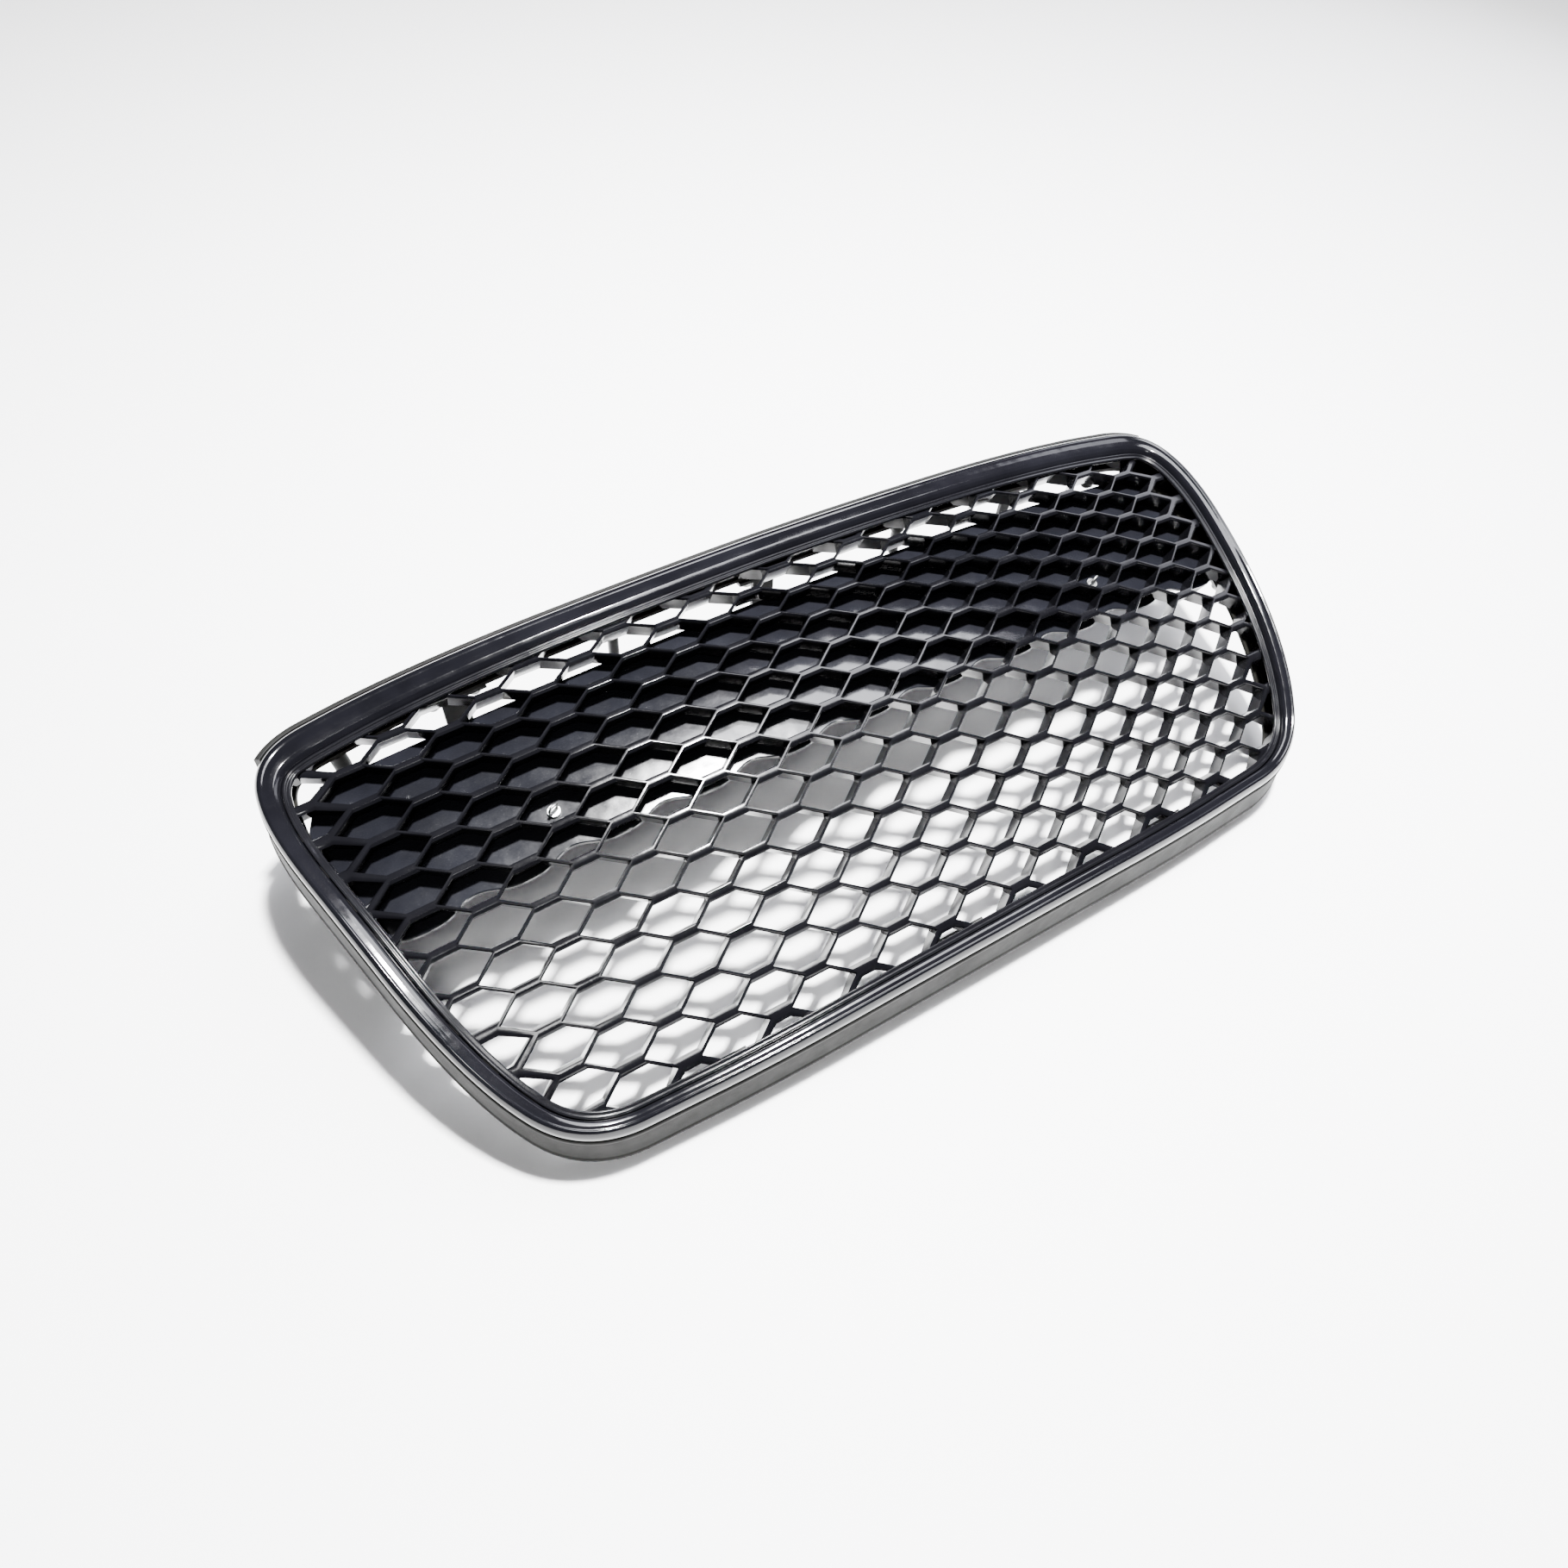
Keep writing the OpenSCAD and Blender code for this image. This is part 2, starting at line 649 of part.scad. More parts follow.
// Locating pins: a base that follows the shelf, an upright collar and a shaft that points to the rear
pin_x = 110;
pin_r = 3.5;
pin_length = 20;
pin_tip = 4;
pin_base_r = 5.2;
pin_base = 2;
pin_collar_r = 4.9;
pin_shoulder = 3;
module locating_pins() {
    base_middle = face_z(pin_x, bracket_y) + shelf_under - gap - pin_base / 2;
    place() color([0.05, 0.05, 0.05])
        for (m = [-1, 1])
            union() {
                on_face(m * pin_x, bracket_y, shelf_under, -gap - pin_base)
                    cylinder(r = pin_base_r, h = pin_base);
                translate([m * pin_x, bracket_y, base_middle - pin_shoulder]) {
                    cylinder(r = pin_collar_r, h = pin_shoulder - 0.3);
                    translate([0, 0, -pin_length])
                        cylinder(r = pin_r, h = pin_length + 1);
                    translate([0, 0, -pin_length - pin_tip])
                        cylinder(r1 = pin_r - 1.5, r2 = pin_r, h = pin_tip);
                }
            }
}

bezel();
inner_lip();
carrier_frame();
mesh_insert();
blanking_panel();
panel_eyes();
panel_rivets();
top_seal();
top_seal_clips();
upper_bracket_left();
upper_bracket_right();
upper_bracket_center();
bracket_screws();
spring_nuts();
lower_hook_left();
lower_hook_right();
lower_center_tab();
hook_screws();
side_clip_left();
side_clip_right();
clip_screws();
bump_pads();
locating_pins();
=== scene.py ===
"""Front grille: the finished surfaces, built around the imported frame."""
import json
import math

import bpy
from mathutils import Euler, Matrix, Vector


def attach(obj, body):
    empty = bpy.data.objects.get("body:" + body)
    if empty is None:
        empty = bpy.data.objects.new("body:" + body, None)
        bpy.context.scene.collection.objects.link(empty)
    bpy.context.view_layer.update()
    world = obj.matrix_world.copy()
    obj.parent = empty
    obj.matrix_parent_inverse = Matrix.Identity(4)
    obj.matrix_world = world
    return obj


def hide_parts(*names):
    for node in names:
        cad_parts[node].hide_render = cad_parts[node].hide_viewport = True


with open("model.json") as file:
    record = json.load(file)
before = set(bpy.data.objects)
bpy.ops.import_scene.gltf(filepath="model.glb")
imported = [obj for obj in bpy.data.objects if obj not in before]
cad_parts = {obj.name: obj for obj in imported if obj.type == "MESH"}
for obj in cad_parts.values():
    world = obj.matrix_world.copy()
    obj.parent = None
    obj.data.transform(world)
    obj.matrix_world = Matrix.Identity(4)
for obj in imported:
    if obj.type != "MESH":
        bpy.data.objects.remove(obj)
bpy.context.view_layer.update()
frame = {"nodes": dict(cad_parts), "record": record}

# ---- Form of the part, in millimetres, as in its CAD source ----
MM = 0.001
FRAME_Y = 8.05
SPAN_X, SPAN_Y = 310.0, 140.0
FACE_HEIGHT, FACE_BOW, FACE_TILT, FACE_ARCH, CORNER_LIFT = 102.0, 22.0, 38.0, 31.0, 8.0
TOP_X, BOTTOM_X, TOP_Y, BOTTOM_Y = 332.0, 260.0, 152.0, 138.0
BEAD_TOP, BEAD_SIDE, BEAD_BOTTOM, BEAD_HEIGHT = 20.0, 12.0, 9.0, 10.0
GAP = 0.4
SKIRT_WALL, SKIRT_TOP, SKIRT_DEPTH, SKIRT_FLARE = 2.6, 3.0, 20.0, 2.5
MESH_DEPTH, WALL_LEAN, LEAN_RUN_IN = 13.0, 0.38, 12.0
SHELF_TOP, SHELF_THICKNESS, SHELF_REACH, SHELF_CUT_BACK = -13.4, 3.0, 5.0, 11.0
COLUMN_PITCH, ROW_PITCH, BAR_LENGTH, BAR_THICKNESS, WALL_THICKNESS = 28.0, 23.06, 11.5, 5.5, 2.0
COLUMN_LAST, ROW_FIRST, ROW_LAST, ROW_MIDDLE = 13, -9, 18, 4.74
ROW_LIFT, COLUMN_FAN, ROW_GROWTH = 6.4, 0.027, 7.2
PANEL_LOW, PANEL_HIGH, PANEL_THICKNESS, PANEL_SIDE_GAP = 4.0, 112.0, 2.5, 18.0
TAB_DEPTH, TAB_SHARPNESS, CORNER_CUT_START, CORNER_CUT = 6.0, 1.6, 88.0, 0.6
LIP_WIDTH = 4.2
LIP_STEP_TOP, LIP_STEP_LOW = 3.6, 2.4
SEAL_REACH_Y = 128.0

# Camera: place in metres, turn in degrees, lens and square sensor in millimetres
CAMERA_PLACE = (-0.2806, -0.30185, 0.5659)
CAMERA_TURN = (35.871, -3.660, -31.072)
CAMERA_LENS, SENSOR = 23.75, 36.0


def face_z(x, y):
    """Height of the mesh front."""
    u, v = x / SPAN_X, y / SPAN_Y
    return (FACE_HEIGHT - FACE_BOW * u * u + FACE_TILT * v - FACE_ARCH * v * v
            + CORNER_LIFT * u * u * v * v)


def in_metres(x, y, z):
    return (x * MM, (y - FRAME_Y) * MM, z * MM)


def mix(a, b, t):
    return tuple(p + (q - p) * t for p, q in zip(a, b))


def toward(a, b, run):
    """The point a run away from a, on the line to b."""
    return mix(a, b, run / math.dist(a, b))


# ---- Outline ----
CORNERS = [
    ((0, TOP_Y), 0, 0),
    ((0.7 * TOP_X, TOP_Y - 2), 90, 55),
    ((TOP_X, TOP_Y - 16), 34, 34),
    ((TOP_X + 2.5, 0.52 * TOP_Y), 20, 35),
    ((BOTTOM_X + 37.5, -0.535 * BOTTOM_Y), 60, 35),
    ((BOTTOM_X, 7 - BOTTOM_Y), 32, 37),
    ((0.57 * BOTTOM_X, 0.4 - BOTTOM_Y), 40, 50),
    ((0, -BOTTOM_Y), 0, 0),
]
CAD_STEPS = [1, 3, 10, 3, 6, 9, 2, 1]
FINE_STEPS = [1, 14, 30, 12, 12, 30, 14, 1]


def make_outline(steps, edge_step):
    """Clockwise outline from the middle of the top edge, with its outward directions."""
    half = []
    for i, (corner, run_in, run_out) in enumerate(CORNERS):
        start = toward(corner, CORNERS[i - 1][0], run_in) if i else corner
        end = toward(corner, CORNERS[i + 1][0], run_out) if i < 7 else corner
        if steps[i] == 1:
            half.append(tuple(map(float, corner)))
        else:
            for s in range(steps[i] + 1):
                t = s / steps[i]
                half.append(mix(mix(start, corner, t), mix(corner, end, t), t))
        if i < 7:
            goal = toward(CORNERS[i + 1][0], corner, CORNERS[i + 1][1]) if i < 6 else CORNERS[7][0]
            parts = math.ceil(math.dist(end, goal) / edge_step)
            half += [mix(end, goal, s / parts) for s in range(1, parts)]
    points = half + [(-x, y) for x, y in half[-2:0:-1]]
    outward = []
    for i, _ in enumerate(points):
        a, b = points[i - 1], points[(i + 1) % len(points)]
        run = math.dist(a, b)
        outward.append((-(b[1] - a[1]) / run, (b[0] - a[0]) / run))
    return points, outward


path, outward = make_outline(FINE_STEPS, 8.0)


def bead_width(i):
    up = outward[i][1]
    return BEAD_SIDE + max(up, 0) * (BEAD_TOP - BEAD_SIDE) + max(-up, 0) * (BEAD_BOTTOM - BEAD_SIDE)


def at_inset(i, run, height):
    """The point of the outline moved inwards by run, at a height over the face."""
    x, y = path[i][0] - outward[i][0] * run, path[i][1] - outward[i][1] * run
    return in_metres(x, y, max(0.0, face_z(x, y) + height))


def rounded(section, radius, parts=3):
    """A closed section with its corners rounded off."""
    soft = []
    for k, point in enumerate(section):
        before, after = section[k - 1], section[(k + 1) % len(section)]
        a = toward(point, before, min(radius, 0.45 * math.dist(point, before)))
        b = toward(point, after, min(radius, 0.45 * math.dist(point, after)))
        soft += [mix(mix(a, point, s / parts), mix(point, b, s / parts), s / parts)
                 for s in range(parts + 1)]
    return soft


# ---- Pieces ----
def make_piece(name, points, faces, slot, stands_for, material, sharp_angle=34):
    mesh = bpy.data.meshes.new(name)
    mesh.from_pydata(points, [], faces)
    mesh.validate()
    mesh.update()
    mesh.shade_smooth()
    mesh.set_sharp_from_angle(angle=math.radians(sharp_angle))
    mesh.materials.append(material)
    piece = bpy.data.objects.new(name, mesh)
    bpy.context.scene.collection.objects.link(piece)
    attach(piece, "root")
    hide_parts(stands_for)
    return piece


def loft(loops, closed):
    """Points and faces of a row of equal loops, closed into a ring or capped at both ends."""
    count, rows = len(loops[0]), len(loops)
    points = [p for loop in loops for p in loop]
    faces = []
    for r in range(rows if closed else rows - 1):
        for k in range(count):
            a, b = r * count + k, r * count + (k + 1) % count
            n = (r + 1) % rows * count
            faces.append((a, n + k, n + (k + 1) % count, b))
    if not closed:
        faces += [tuple(range(count)), tuple(range(rows * count - 1, (rows - 1) * count - 1, -1))]
    return points, faces


def ring_piece(name, section_at, *details):
    loops = [[at_inset(i, n, h) for n, h in section_at(i)] for i in range(len(path))]
    return make_piece(name, *loft(loops, True), *details)


def bezel_section(i):
    w, t = bead_width(i), BEAD_HEIGHT
    inner = SKIRT_WALL + 2 * GAP
    return rounded([
        (inner, GAP), (inner, SKIRT_TOP + 0.5), (0.9, SKIRT_TOP + 0.5), (0.15, SKIRT_TOP + 1.6),
        (0.2, 0.62 * t), (0.05 * w, 0.76 * t), (0.13 * w, 0.90 * t), (0.20 * w, 0.97 * t),
        (0.27 * w, t), (0.33 * w, 0.99 * t), (0.40 * w, 0.925 * t), (0.60 * w, 0.86 * t),
        (0.78 * w, 0.76 * t), (0.89 * w, 0.62 * t), (0.96 * w, 0.42 * t), (w, 0.22 * t), (w, GAP),
    ], 0.45)


def lip_section(i):
    w = bead_width(i) + 0.3
    return rounded([
        (w, GAP), (w, LIP_STEP_TOP), (w + 0.3 * LIP_WIDTH, LIP_STEP_TOP),
        (w + 0.45 * LIP_WIDTH, LIP_STEP_LOW), (w + 0.85 * LIP_WIDTH, LIP_STEP_LOW),
        (w + LIP_WIDTH, 1.5), (w + LIP_WIDTH, GAP),
    ], 0.3)


def skirt_section(i):
    w = bead_width(i) + SHELF_REACH - max(outward[i][1], 0) * SHELF_CUT_BACK
    under = SHELF_TOP - SHELF_THICKNESS
    return rounded([
        (0.0, SKIRT_TOP), (SKIRT_WALL, SKIRT_TOP), (SKIRT_WALL, SHELF_TOP), (w, SHELF_TOP),
        (w, under), (SKIRT_WALL - 0.8, under), (SKIRT_WALL - SKIRT_FLARE, -SKIRT_DEPTH),
        (-SKIRT_FLARE, -SKIRT_DEPTH), (-SKIRT_FLARE, -SKIRT_DEPTH + 2.2),
        (-SKIRT_FLARE + 0.7, -SKIRT_DEPTH + 3.0), (-0.25, -0.6), (-0.5, 0.4), (-0.5, 2.2),
    ], 0.4)


SEAL_SECTION = [(-0.5, 7.5), (-0.5, 2.8), (-1.9, -8.0), (-3.8, -8.0), (-4.6, 0.0), (-4.2, 6.8)]


def seal_piece(name, *details):
    count = len(path)
    upper = [i for i in range(count) if path[i][1] > SEAL_REACH_Y]
    right = [i for i in upper if i < count // 2]
    left = [i for i in upper if i >= count // 2]
    section = rounded(SEAL_SECTION, 0.7)
    loops = [[at_inset(i, n, h) for n, h in section] for i in left + right]
    return make_piece(name, *loft(loops, False), *details)


def side_x(y):
    """Half width of the closing panel."""
    (low_x, low_y), (high_x, high_y) = CORNERS[4][0], CORNERS[3][0]
    t = min(1.0, (y - low_y) / (high_y - low_y))
    return (low_x + (high_x - low_x) * t - PANEL_SIDE_GAP
            - CORNER_CUT * max(0.0, y - CORNER_CUT_START))


def panel_piece(name, *details):
    columns, rows, soft = 352, 12, 0.5
    loops = []
    for j in range(columns + 1):
        u = 2 * j / columns - 1
        x = u * side_x(PANEL_LOW)
        wave = (1 - math.cos(math.pi * x / COLUMN_PITCH)) / 2
        low = PANEL_LOW + TAB_DEPTH * wave ** TAB_SHARPNESS
        ys = [low + (PANEL_HIGH - low) * k / rows for k in range(rows + 1)]
        back = [(y, -PANEL_THICKNESS) for y in ys[1:-1]]
        front = [(y, 0.0) for y in ys[-2:0:-1]]
        section = ([(low + soft, -PANEL_THICKNESS)] + back
                   + [(PANEL_HIGH - soft, -PANEL_THICKNESS), (PANEL_HIGH, soft - PANEL_THICKNESS),
                      (PANEL_HIGH, -soft), (PANEL_HIGH - soft, 0.0)] + front
                   + [(low + soft, 0.0), (low, -soft), (low, soft - PANEL_THICKNESS)])
        loops.append([in_metres(u * side_x(y), y, face_z(u * side_x(y), y) + SHELF_TOP + h)
                      for y, h in section])
    return make_piece(name, *loft(loops, False), *details)


# ---- Honeycomb ----
HALF_BAR, HALF_ROW = BAR_LENGTH / 2, ROW_PITCH / 2
TIP = COLUMN_PITCH - HALF_BAR
HOLE_HALF_BAR = HALF_BAR + BAR_THICKNESS / 2 * (TIP - HALF_BAR) / HALF_ROW - 0.8 * WALL_THICKNESS
HOLE_TIP = TIP - 0.8 * WALL_THICKNESS
SMALLEST_CUT_CELL, SMALLEST_OPEN_CELL = 0.5, 110.0
EDGE_HOLE_X, EDGE_HOLE_Y = 0.8, 0.7
# Rim of an opening: share of the way from the middle of a wall to the opening, and drop
RIM = [(0.0, 0.0), (0.50, 0.0), (0.60, -0.10), (0.90, -1.05), (1.0, -1.45)]
REAR_RIM = [(1.0, 0.5), (0.8, 0.0), (0.0, 0.0)]

cad_path, cad_outward = make_outline(CAD_STEPS, 34.0)
mesh_edge = [(x - n[0] * (SKIRT_WALL + GAP), y - n[1] * (SKIRT_WALL + GAP))
             for (x, y), n in zip(cad_path, cad_outward)][::-1]


def side_of(a, b, p):
    """Distance of p to the left of the line from a to b."""
    return ((b[0] - a[0]) * (p[1] - a[1]) - (b[1] - a[1]) * (p[0] - a[0])) / math.dist(a, b)


edge_lines = list(zip(mesh_edge, mesh_edge[1:] + mesh_edge[:1]))


def depth_in(p):
    return min(side_of(a, b, p) for a, b in edge_lines)


def lattice(x, y):
    u, v = x / SPAN_X, y / SPAN_Y
    return (round(x * (1 + COLUMN_FAN * v), 4), round(y + ROW_LIFT * u * u + ROW_GROWTH * v * v, 4))


def hexagon(c, r, bar, high, point):
    x, y = c * COLUMN_PITCH, (r - ROW_MIDDLE) * HALF_ROW
    return [lattice(x + dx, y + dy) for dx, dy in (
        (-bar, high), (-point, 0), (-bar, -high), (bar, -high), (point, 0), (bar, high))]


def clipped(poly):
    for a, b in edge_lines:
        kept = []
        for p, q in zip(poly, poly[1:] + poly[:1]):
            dp, dq = side_of(a, b, p), side_of(a, b, q)
            if dp >= 0:
                kept.append(p)
            if (dp >= 0) != (dq >= 0):
                kept.append(tuple(round(v, 4) for v in mix(p, q, dp / (dp - dq))))
        poly = kept
        if len(poly) < 3:
            return []
    return poly


def area(poly):
    return 0.5 * abs(sum(p[0] * q[1] - p[1] * q[0] for p, q in zip(poly, poly[1:] + poly[:1])))


def shrunk(poly):
    mx, my = (sum(p[k] for p in poly) / len(poly) for k in (0, 1))
    return [(mx + EDGE_HOLE_X * (x - mx), my + EDGE_HOLE_Y * (y - my)) for x, y in poly]


def at_front(p, drop):
    return in_metres(p[0], p[1], face_z(*p) + drop)


def at_rear(p, rise):
    lean = WALL_LEAN * MESH_DEPTH * min(1.0, max(0.0, depth_in(p)) / LEAN_RUN_IN)
    return in_metres(p[0], p[1] + lean, face_z(p[0], p[1] + lean) - MESH_DEPTH + rise)


def honeycomb_piece(name, *details):
    points, faces, known = [], [], {}

    def add(place):
        key = tuple(round(v, 7) for v in place)
        if key not in known:
            known[key] = len(points)
            points.append(place)
        return known[key]

    def add_face(*corners):
        face = [v for k, v in enumerate(corners) if v != corners[k - 1]]
        if len(set(face)) > 2:
            faces.append(face)

    for c in range(-COLUMN_LAST, COLUMN_LAST + 1):
        for r in range(ROW_FIRST, ROW_LAST + 1):
            if (c + r) % 2:
                continue
            outer = hexagon(c, r, HALF_BAR, HALF_ROW, TIP)
            whole = min(depth_in(p) for p in outer) >= 0
            if not whole:
                outer = clipped(outer)
            if len(outer) < 3 or area(outer) <= SMALLEST_CUT_CELL:
                continue
            if whole:
                hole = hexagon(c, r, HOLE_HALF_BAR, HALF_ROW - BAR_THICKNESS / 2, HOLE_TIP)
            elif area(outer) > SMALLEST_OPEN_CELL:
                hole = shrunk(outer)
            else:
                hole = []
            front = [add(at_front(p, 0.0)) for p in outer]
            rear = [add(at_rear(p, 0.0)) for p in outer]
            if hole:
                loops = [[add(at_front(mix(p, q, t), drop)) for p, q in zip(outer, hole)]
                         for t, drop in RIM]
                loops += [[add(at_rear(mix(p, q, t), rise)) for p, q in zip(outer, hole)]
                          for t, rise in REAR_RIM]
                for one, two in zip(loops, loops[1:]):
                    for k in range(len(one)):
                        m = (k + 1) % len(one)
                        add_face(one[k], one[m], two[m], two[k])
            else:
                add_face(*front)
                add_face(*rear[::-1])
            if not whole:
                for k, p in enumerate(outer):
                    m = (k + 1) % len(outer)
                    if abs(depth_in(mix(p, outer[m], 0.5))) < 0.002:
                        add_face(front[m], front[k], rear[k], rear[m])
    return make_piece(name, points, faces, *details, 28)


# ---- Materials ----
# How fine each kind of noise is: colour drift, worn patches, handling, scratches, mould flow
DRIFT_SCALE, PATCH_SCALE, HANDLED_SCALE, SCRATCH_SCALE, FLOW_SCALE = 22.0, 160.0, 55.0, 900.0, 75.0
SCRATCH_ROUGHNESS, FLOW_DEPTH, FLOW_STRENGTH = 0.06, 0.00035, 0.6
# Pointiness at which an edge starts to wear, and where it is fully worn
WORN_FROM, WORN_TO = 0.53, 0.62


def surface(name, dark, light, gloss, grain_scale, grain_depth, wear_color, wear,
            stretch=(1.0, 1.0, 1.0), **fixed):
    """Drifting colour, uneven gloss, moulded grain, fine scratches and paler edges."""
    material = bpy.data.materials.new(name)
    material.use_nodes = True
    nodes, links = material.node_tree.nodes, material.node_tree.links
    shader = nodes["Principled BSDF"]
    for socket, value in fixed.items():
        shader.inputs[socket.replace("_", " ").title().replace("Ior", "IOR")].default_value = value
    coords = nodes.new("ShaderNodeTexCoord")
    mapping = nodes.new("ShaderNodeMapping")
    mapping.inputs["Scale"].default_value = stretch
    links.new(coords.outputs["Object"], mapping.inputs["Vector"])

    def noise(scale, detail, roughness=0.55):
        node = nodes.new("ShaderNodeTexNoise")
        node.inputs["Scale"].default_value = scale
        node.inputs["Detail"].default_value = detail
        node.inputs["Roughness"].default_value = roughness
        links.new(mapping.outputs["Vector"], node.inputs["Vector"])
        return node.outputs["Fac"]

    def ranged(value, low, high, to_low, to_high):
        node = nodes.new("ShaderNodeMapRange")
        for socket, number in (("From Min", low), ("From Max", high),
                               ("To Min", to_low), ("To Max", to_high)):
            node.inputs[socket].default_value = number
        links.new(value, node.inputs["Value"])
        return node.outputs["Result"]

    def arithmetic(kind, a, b):
        node = nodes.new("ShaderNodeMath")
        node.operation = kind
        for socket, value in zip(node.inputs, (a, b)):
            if isinstance(value, float):
                socket.default_value = value
            else:
                links.new(value, socket)
        return node.outputs[0]

    def blend(factor, a, b):
        node = nodes.new("ShaderNodeMix")
        node.data_type = "RGBA"
        links.new(factor, node.inputs["Factor"])
        for socket, value in ((node.inputs["A"], a), (node.inputs["B"], b)):
            if isinstance(value, tuple):
                socket.default_value = (*value, 1.0)
            else:
                links.new(value, socket)
        return node.outputs["Result"]

    drift = ranged(noise(DRIFT_SCALE, 5.0), 0.3, 0.7, 0.0, 1.0)
    geometry = nodes.new("ShaderNodeNewGeometry")
    edge = ranged(geometry.outputs["Pointiness"], WORN_FROM, WORN_TO, 0.0, 1.0)
    patch = ranged(noise(PATCH_SCALE, 3.0), 0.42, 0.68, 0.0, 1.0)
    worn = arithmetic("MULTIPLY", arithmetic("MULTIPLY", edge, patch), float(wear))
    color = blend(worn, blend(drift, dark, light), wear_color)
    links.new(color, shader.inputs["Base Color"])

    handled = ranged(noise(HANDLED_SCALE, 6.0, 0.65), 0.3, 0.7, gloss[0], gloss[1])
    scratches = ranged(noise(SCRATCH_SCALE, 2.0), 0.60, 0.75, 0.0, SCRATCH_ROUGHNESS)
    links.new(arithmetic("ADD", handled, scratches), shader.inputs["Roughness"])

    grain = nodes.new("ShaderNodeBump")
    grain.inputs["Distance"].default_value = grain_depth
    grain.inputs["Strength"].default_value = 1.0
    links.new(noise(grain_scale, 3.0), grain.inputs["Height"])
    flow = nodes.new("ShaderNodeBump")
    flow.inputs["Distance"].default_value = FLOW_DEPTH
    flow.inputs["Strength"].default_value = FLOW_STRENGTH
    links.new(noise(FLOW_SCALE, 1.0), flow.inputs["Height"])
    links.new(grain.outputs["Normal"], flow.inputs["Normal"])
    links.new(flow.outputs["Normal"], shader.inputs["Normal"])
    return material


gloss_black = surface("gloss_black", (0.0022, 0.0022, 0.0030), (0.0045, 0.0045, 0.0060),
                      (0.07, 0.15), 650.0, 0.00001, (0.030, 0.030, 0.036), 0.5,
                      coat_weight=0.10, coat_roughness=0.04, ior=1.45,
                      specular_ior_level=0.40)
lip_black = surface("lip_black", (0.0025, 0.0025, 0.0032), (0.0050, 0.0050, 0.0062),
                    (0.14, 0.24), 800.0, 0.00002, (0.030, 0.030, 0.036), 0.5,
                    coat_weight=0.03, coat_roughness=0.1, ior=1.42, specular_ior_level=0.30)
mesh_black = surface("mesh_black", (0.0018, 0.0018, 0.0024), (0.0038, 0.0038, 0.0048),
                     (0.11, 0.20), 900.0, 0.00002, (0.035, 0.035, 0.044), 0.6,
                     coat_weight=0.04, coat_roughness=0.08, ior=1.45, specular_ior_level=0.30)
panel_black = surface("panel_black", (0.0034, 0.0035, 0.0048), (0.0065, 0.0068, 0.0092),
                      (0.13, 0.22), 700.0, 0.00001, (0.05, 0.05, 0.06), 0.4,
                      coat_weight=0.2, coat_roughness=0.07, ior=1.50)
frame_satin = surface("frame_satin", (0.0045, 0.0045, 0.0038), (0.0080, 0.0078, 0.0066), (0.46, 0.58),
                      2200.0, 0.00006, (0.06, 0.06, 0.053), 0.5, ior=1.30,
                      specular_ior_level=0.12)
seal_rubber = surface("seal_rubber", (0.0035, 0.0035, 0.0034), (0.0080, 0.0080, 0.0077), (0.50, 0.66),
                      2600.0, 0.00012, (0.035, 0.035, 0.033), 0.4, ior=1.45,
                      specular_ior_level=0.25)
bracket_nylon = surface("bracket_nylon", (0.0030, 0.0030, 0.0031), (0.0065, 0.0065, 0.0068),
                        (0.40, 0.55), 2400.0, 0.0001, (0.030, 0.030, 0.030), 0.6, ior=1.45,
                        specular_ior_level=0.25)
zinc_steel = surface("zinc_steel", (0.42, 0.43, 0.44), (0.62, 0.62, 0.60), (0.24, 0.42),
                     1800.0, 0.00004, (0.80, 0.80, 0.78), 0.7, stretch=(1.0, 9.0, 1.0),
                     metallic=1.0)
pad_rubber = surface("pad_rubber", (0.0030, 0.0030, 0.0030), (0.0070, 0.0070, 0.0067), (0.55, 0.72),
                     2000.0, 0.00015, (0.030, 0.030, 0.030), 0.4, ior=1.45,
                     specular_ior_level=0.20)
SLOT_MATERIALS = {"bezel": gloss_black, "lip": lip_black, "mesh": mesh_black,
                  "panel": panel_black, "frame": frame_satin, "seal": seal_rubber,
                  "bracket": bracket_nylon, "fastener": zinc_steel, "pad": pad_rubber}

# ---- Build ----
ring_piece("bezel_bead", bezel_section, "bezel", "bezel", gloss_black)
ring_piece("stepped_lip", lip_section, "lip", "inner_lip", lip_black)
ring_piece("skirt_and_shelf", skirt_section, "frame", "carrier_frame", frame_satin)
panel_piece("closing_panel", "panel", "blanking_panel", panel_black)
seal_piece("seal_strip", "seal", "top_seal", seal_rubber)
honeycomb_piece("honeycomb", "mesh", "mesh_insert", mesh_black)
REPLACED = {"bezel", "inner_lip", "carrier_frame", "blanking_panel", "top_seal", "mesh_insert"}

# Moulded edges of the kept nodes, in metres
WELD_REACH, EDGE_ROUND = 0.00001, 0.00035
SHARP_EDGE = 35  # degrees

for part in frame["record"]["subparts"]:
    if part["node"] in REPLACED:
        continue
    node = frame["nodes"][part["node"]]
    for slot in node.material_slots:
        slot.material = SLOT_MATERIALS[part["material_slot"]]
    weld = node.modifiers.new("weld", "WELD")
    weld.merge_threshold = WELD_REACH
    bevel = node.modifiers.new("bevel", "BEVEL")
    bevel.width = EDGE_ROUND
    bevel.segments = 2
    bevel.limit_method = "ANGLE"
    bevel.angle_limit = math.radians(SHARP_EDGE)

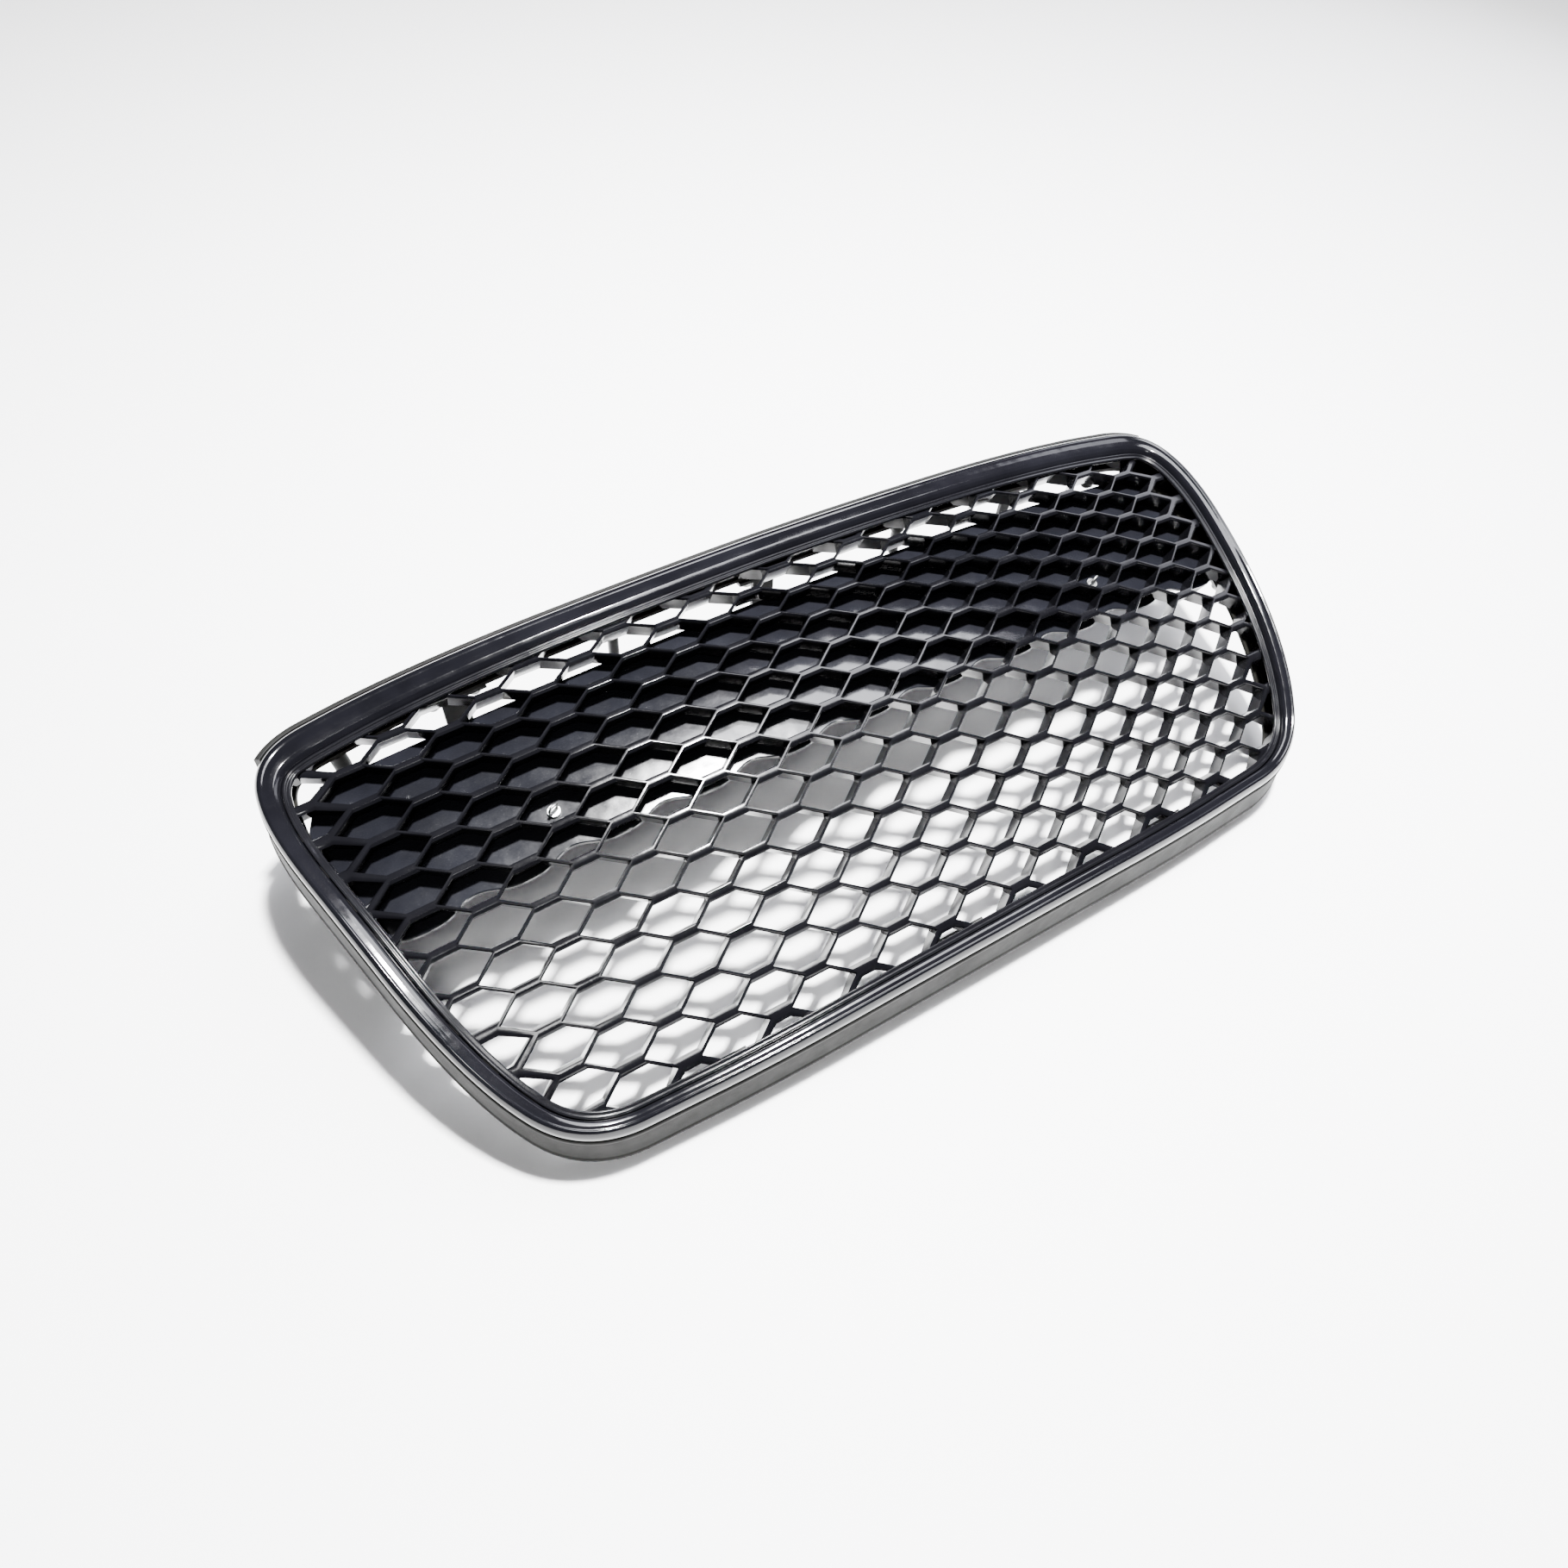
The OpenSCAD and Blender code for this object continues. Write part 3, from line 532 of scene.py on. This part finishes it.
# ---- Floor, lights and camera ----
FLOOR_HALF = 4.0
FLOOR_WHITE = (0.96, 0.96, 0.96, 1.0)
floor_mesh = bpy.data.meshes.new("floor")
floor_mesh.from_pydata([(-FLOOR_HALF, -FLOOR_HALF, 0), (FLOOR_HALF, -FLOOR_HALF, 0),
                        (FLOOR_HALF, FLOOR_HALF, 0), (-FLOOR_HALF, FLOOR_HALF, 0)],
                       [], [(0, 1, 2, 3)])
floor = bpy.data.objects.new("floor", floor_mesh)
bpy.context.scene.collection.objects.link(floor)
white = bpy.data.materials.new("white_floor")
white.use_nodes = True
white_shader = white.node_tree.nodes["Principled BSDF"]
white_shader.inputs["Base Color"].default_value = FLOOR_WHITE
white_shader.inputs["Roughness"].default_value = 0.6
floor_mesh.materials.append(white)

# Sky of the studio: dark overhead, brighter towards the horizon
ZENITH, HORIZON = (0.020, 0.020, 0.026, 1.0), (0.10, 0.10, 0.12, 1.0)
ZENITH_FROM = 0.62
world = bpy.data.worlds.new("studio")
world.use_nodes = True
sky = world.node_tree
sky_coords = sky.nodes.new("ShaderNodeTexCoord")
sky_split = sky.nodes.new("ShaderNodeSeparateXYZ")
sky_ramp = sky.nodes.new("ShaderNodeValToRGB")
sky_ramp.color_ramp.elements[0].position = 0.0
sky_ramp.color_ramp.elements[0].color = HORIZON
sky_ramp.color_ramp.elements[1].position = ZENITH_FROM
sky_ramp.color_ramp.elements[1].color = ZENITH
sky.links.new(sky_coords.outputs["Generated"], sky_split.inputs["Vector"])
sky.links.new(sky_split.outputs["Z"], sky_ramp.inputs["Fac"])
sky.links.new(sky_ramp.outputs["Color"], sky.nodes["Background"].inputs["Color"])
bpy.context.scene.world = world


def softbox(name, place, aim, size, power, color):
    lamp = bpy.data.lights.new(name, "AREA")
    lamp.shape = "RECTANGLE"
    lamp.size, lamp.size_y = size
    lamp.energy = power
    lamp.color = color
    holder = bpy.data.objects.new(name, lamp)
    holder.location = place
    holder.rotation_euler = (Vector(aim) - Vector(place)).to_track_quat("-Z", "Y").to_euler()
    bpy.context.scene.collection.objects.link(holder)


# Name, place, aim, size, power in watts, colour
WHITE, COOL, COOLER = (1.0, 1.0, 1.0), (0.93, 0.94, 1.0), (0.90, 0.91, 1.0)
MIDDLE = (0.0, 0.0, 0.0)
for details in (
        ("key", (0.17, 0.13, 1.78), MIDDLE, (0.13, 0.13), 270.0, WHITE),
        ("front", (-0.50, -0.75, 1.70), MIDDLE, (0.30, 0.30), 12.0, WHITE),
        ("overhead", (0.55, 0.30, 1.60), MIDDLE, (0.70, 1.10), 50.0, COOL),
        ("side", (1.7, 0.5, 0.75), (0.0, 0.0, 0.05), (1.4, 0.8), 16.0, COOLER)):
    softbox(*details)

camera_data = bpy.data.cameras.new("camera")
camera_data.lens = CAMERA_LENS
camera_data.sensor_fit = "HORIZONTAL"
camera_data.sensor_width = SENSOR
camera_data.clip_start = 0.01
camera = bpy.data.objects.new("camera", camera_data)
camera.location = CAMERA_PLACE
camera.rotation_euler = Euler([math.radians(a) for a in CAMERA_TURN], "XYZ")
bpy.context.scene.collection.objects.link(camera)
bpy.context.scene.camera = camera

bpy.context.view_layer.update()
